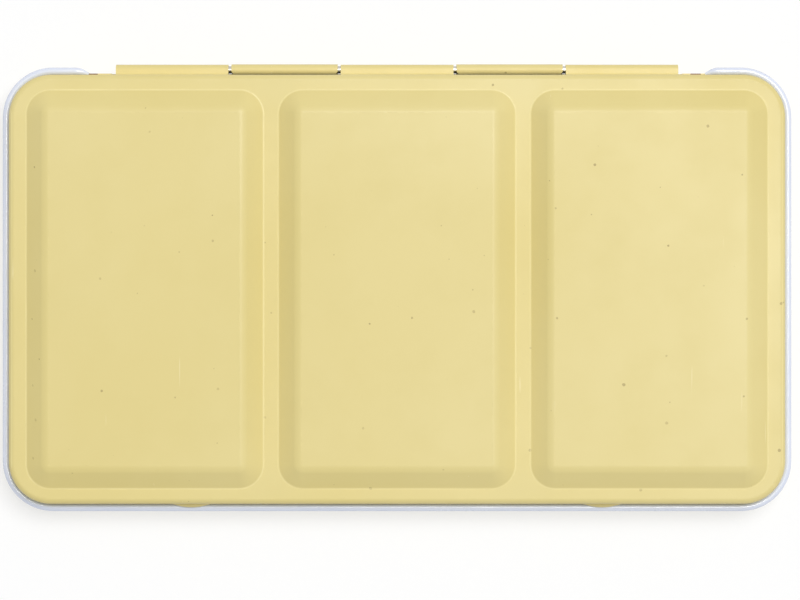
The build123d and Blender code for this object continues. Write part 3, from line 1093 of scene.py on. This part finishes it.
inside = stovedEnamel("whiteEnamel")
# the lid's paint carries a painted highlight along the wells' folds
makeLid([paintedYellow("lidYellow", foldHighlights=True), inside])
makeBase([paintedYellow("baseYellow", worn=True), inside, stovedEnamel("rimEnamel", worn=True)])
makePansAndCakes()
makeBrush()
dress(["front_pan_rack", "back_pan_rack"], bareMetal("rackSteel"))
dress(["hinge_pin", "thumb_ring"], bareMetal("wireSteel"))
dress(["ring_strap"], bareMetal("strapSteel"))
print("racks, wires and strap finished")

# Studio: a pale floor and an even world, both seen as plain white, with one soft light
studioDesign = {
    "white": (1.0, 1.0, 1.0, 1.0),
    "seenBy": ("Camera", "Glossy", "Transmission"),  # rays that see plain white
    "floorSize": 6,
    "floorTones": (tone(243, 243, 243), tone(247, 247, 247)),
    "floorShare": 0.62,  # of plain white in what is seen of the floor, the rest takes the shadow
    "floorWhite": 1.06,
    "worldLevel": 0.38,
    "worldTint": (0.95, 0.97, 1.0, 1.0),
    "lightPlace": (0.68, 0.8, 3.5),
    "lightSize": 1.6,
    "lightPower": 87.0,
    "lightColour": (1.0, 0.995, 0.98),
    "cameraPlace": (0.0008, tin["middleY"] - 0.0029, 0.85),  # straight above, a little off the middle
    "cameraLens": 138.8,
    "cameraSensor": 36,
}


def showWhite(finish, white, share, outlet):
    # the plain white takes its share of what those rays see, in front of the output node
    rays = finish.node("ShaderNodeLightPath").socket.node
    seen = sum(Flow(finish, rays.outputs[f"Is {kind} Ray"]) for kind in studioDesign["seenBy"])
    own = Flow(finish, finish.shader.outputs[0])
    factor = finish.ramp(seen, 0.0, 1.0) * share
    mixed = finish.node("ShaderNodeMixShader", values={0: factor, 1: own, 2: white})
    finish.feed(finish.tree.nodes[outlet].inputs["Surface"], mixed)


def layFloor():
    design = studioDesign
    clearSelection()
    bpy.ops.mesh.primitive_plane_add(size=design["floorSize"], location=(0, 0, 0))
    floor = bpy.context.object
    floor.name = "floor"
    finish = Finish("floorWhite")
    grey = finish.noise(finish.place(), 3.0, 1.0, 0.4)
    floor.data.materials.append(
        finish.shade(Base_Color=finish.mix(grey, *design["floorTones"]), Roughness=0.9)
    )
    glow = {"Color": design["white"], "Strength": design["floorWhite"]}
    white = finish.node("ShaderNodeEmission", values=glow)
    showWhite(finish, white, design["floorShare"], "Material Output")


def lightWorld():
    design = studioDesign
    finish = Finish("studio", "worlds", "Background")
    bpy.context.scene.world = finish.shade(Color=design["worldTint"], Strength=design["worldLevel"])
    white = finish.node("ShaderNodeBackground", values={"Color": design["white"], "Strength": 1.0})
    showWhite(finish, white, 1.0, "World Output")


def hangSoftbox():
    design = studioDesign
    bpy.ops.object.light_add(type="AREA", location=design["lightPlace"])
    light = bpy.context.object
    light.name = "keySoftbox"
    light.data.shape = "SQUARE"
    light.data.size = design["lightSize"]
    light.data.energy = design["lightPower"]
    light.data.color = design["lightColour"]
    aim = Vector((0, 0, 0)) - light.location
    light.rotation_euler = aim.to_track_quat("-Z", "Y").to_euler()


def setCamera():
    design = studioDesign
    bpy.ops.object.camera_add(location=design["cameraPlace"], rotation=(0, 0, 0))
    camera = bpy.context.object
    camera.name = "camera"
    camera.data.sensor_width = design["cameraSensor"]
    camera.data.lens = design["cameraLens"]
    bpy.context.scene.camera = camera


layFloor()
lightWorld()
hangSoftbox()
setCamera()
bpy.context.scene.view_settings.view_transform = "Standard"
print("studio set")
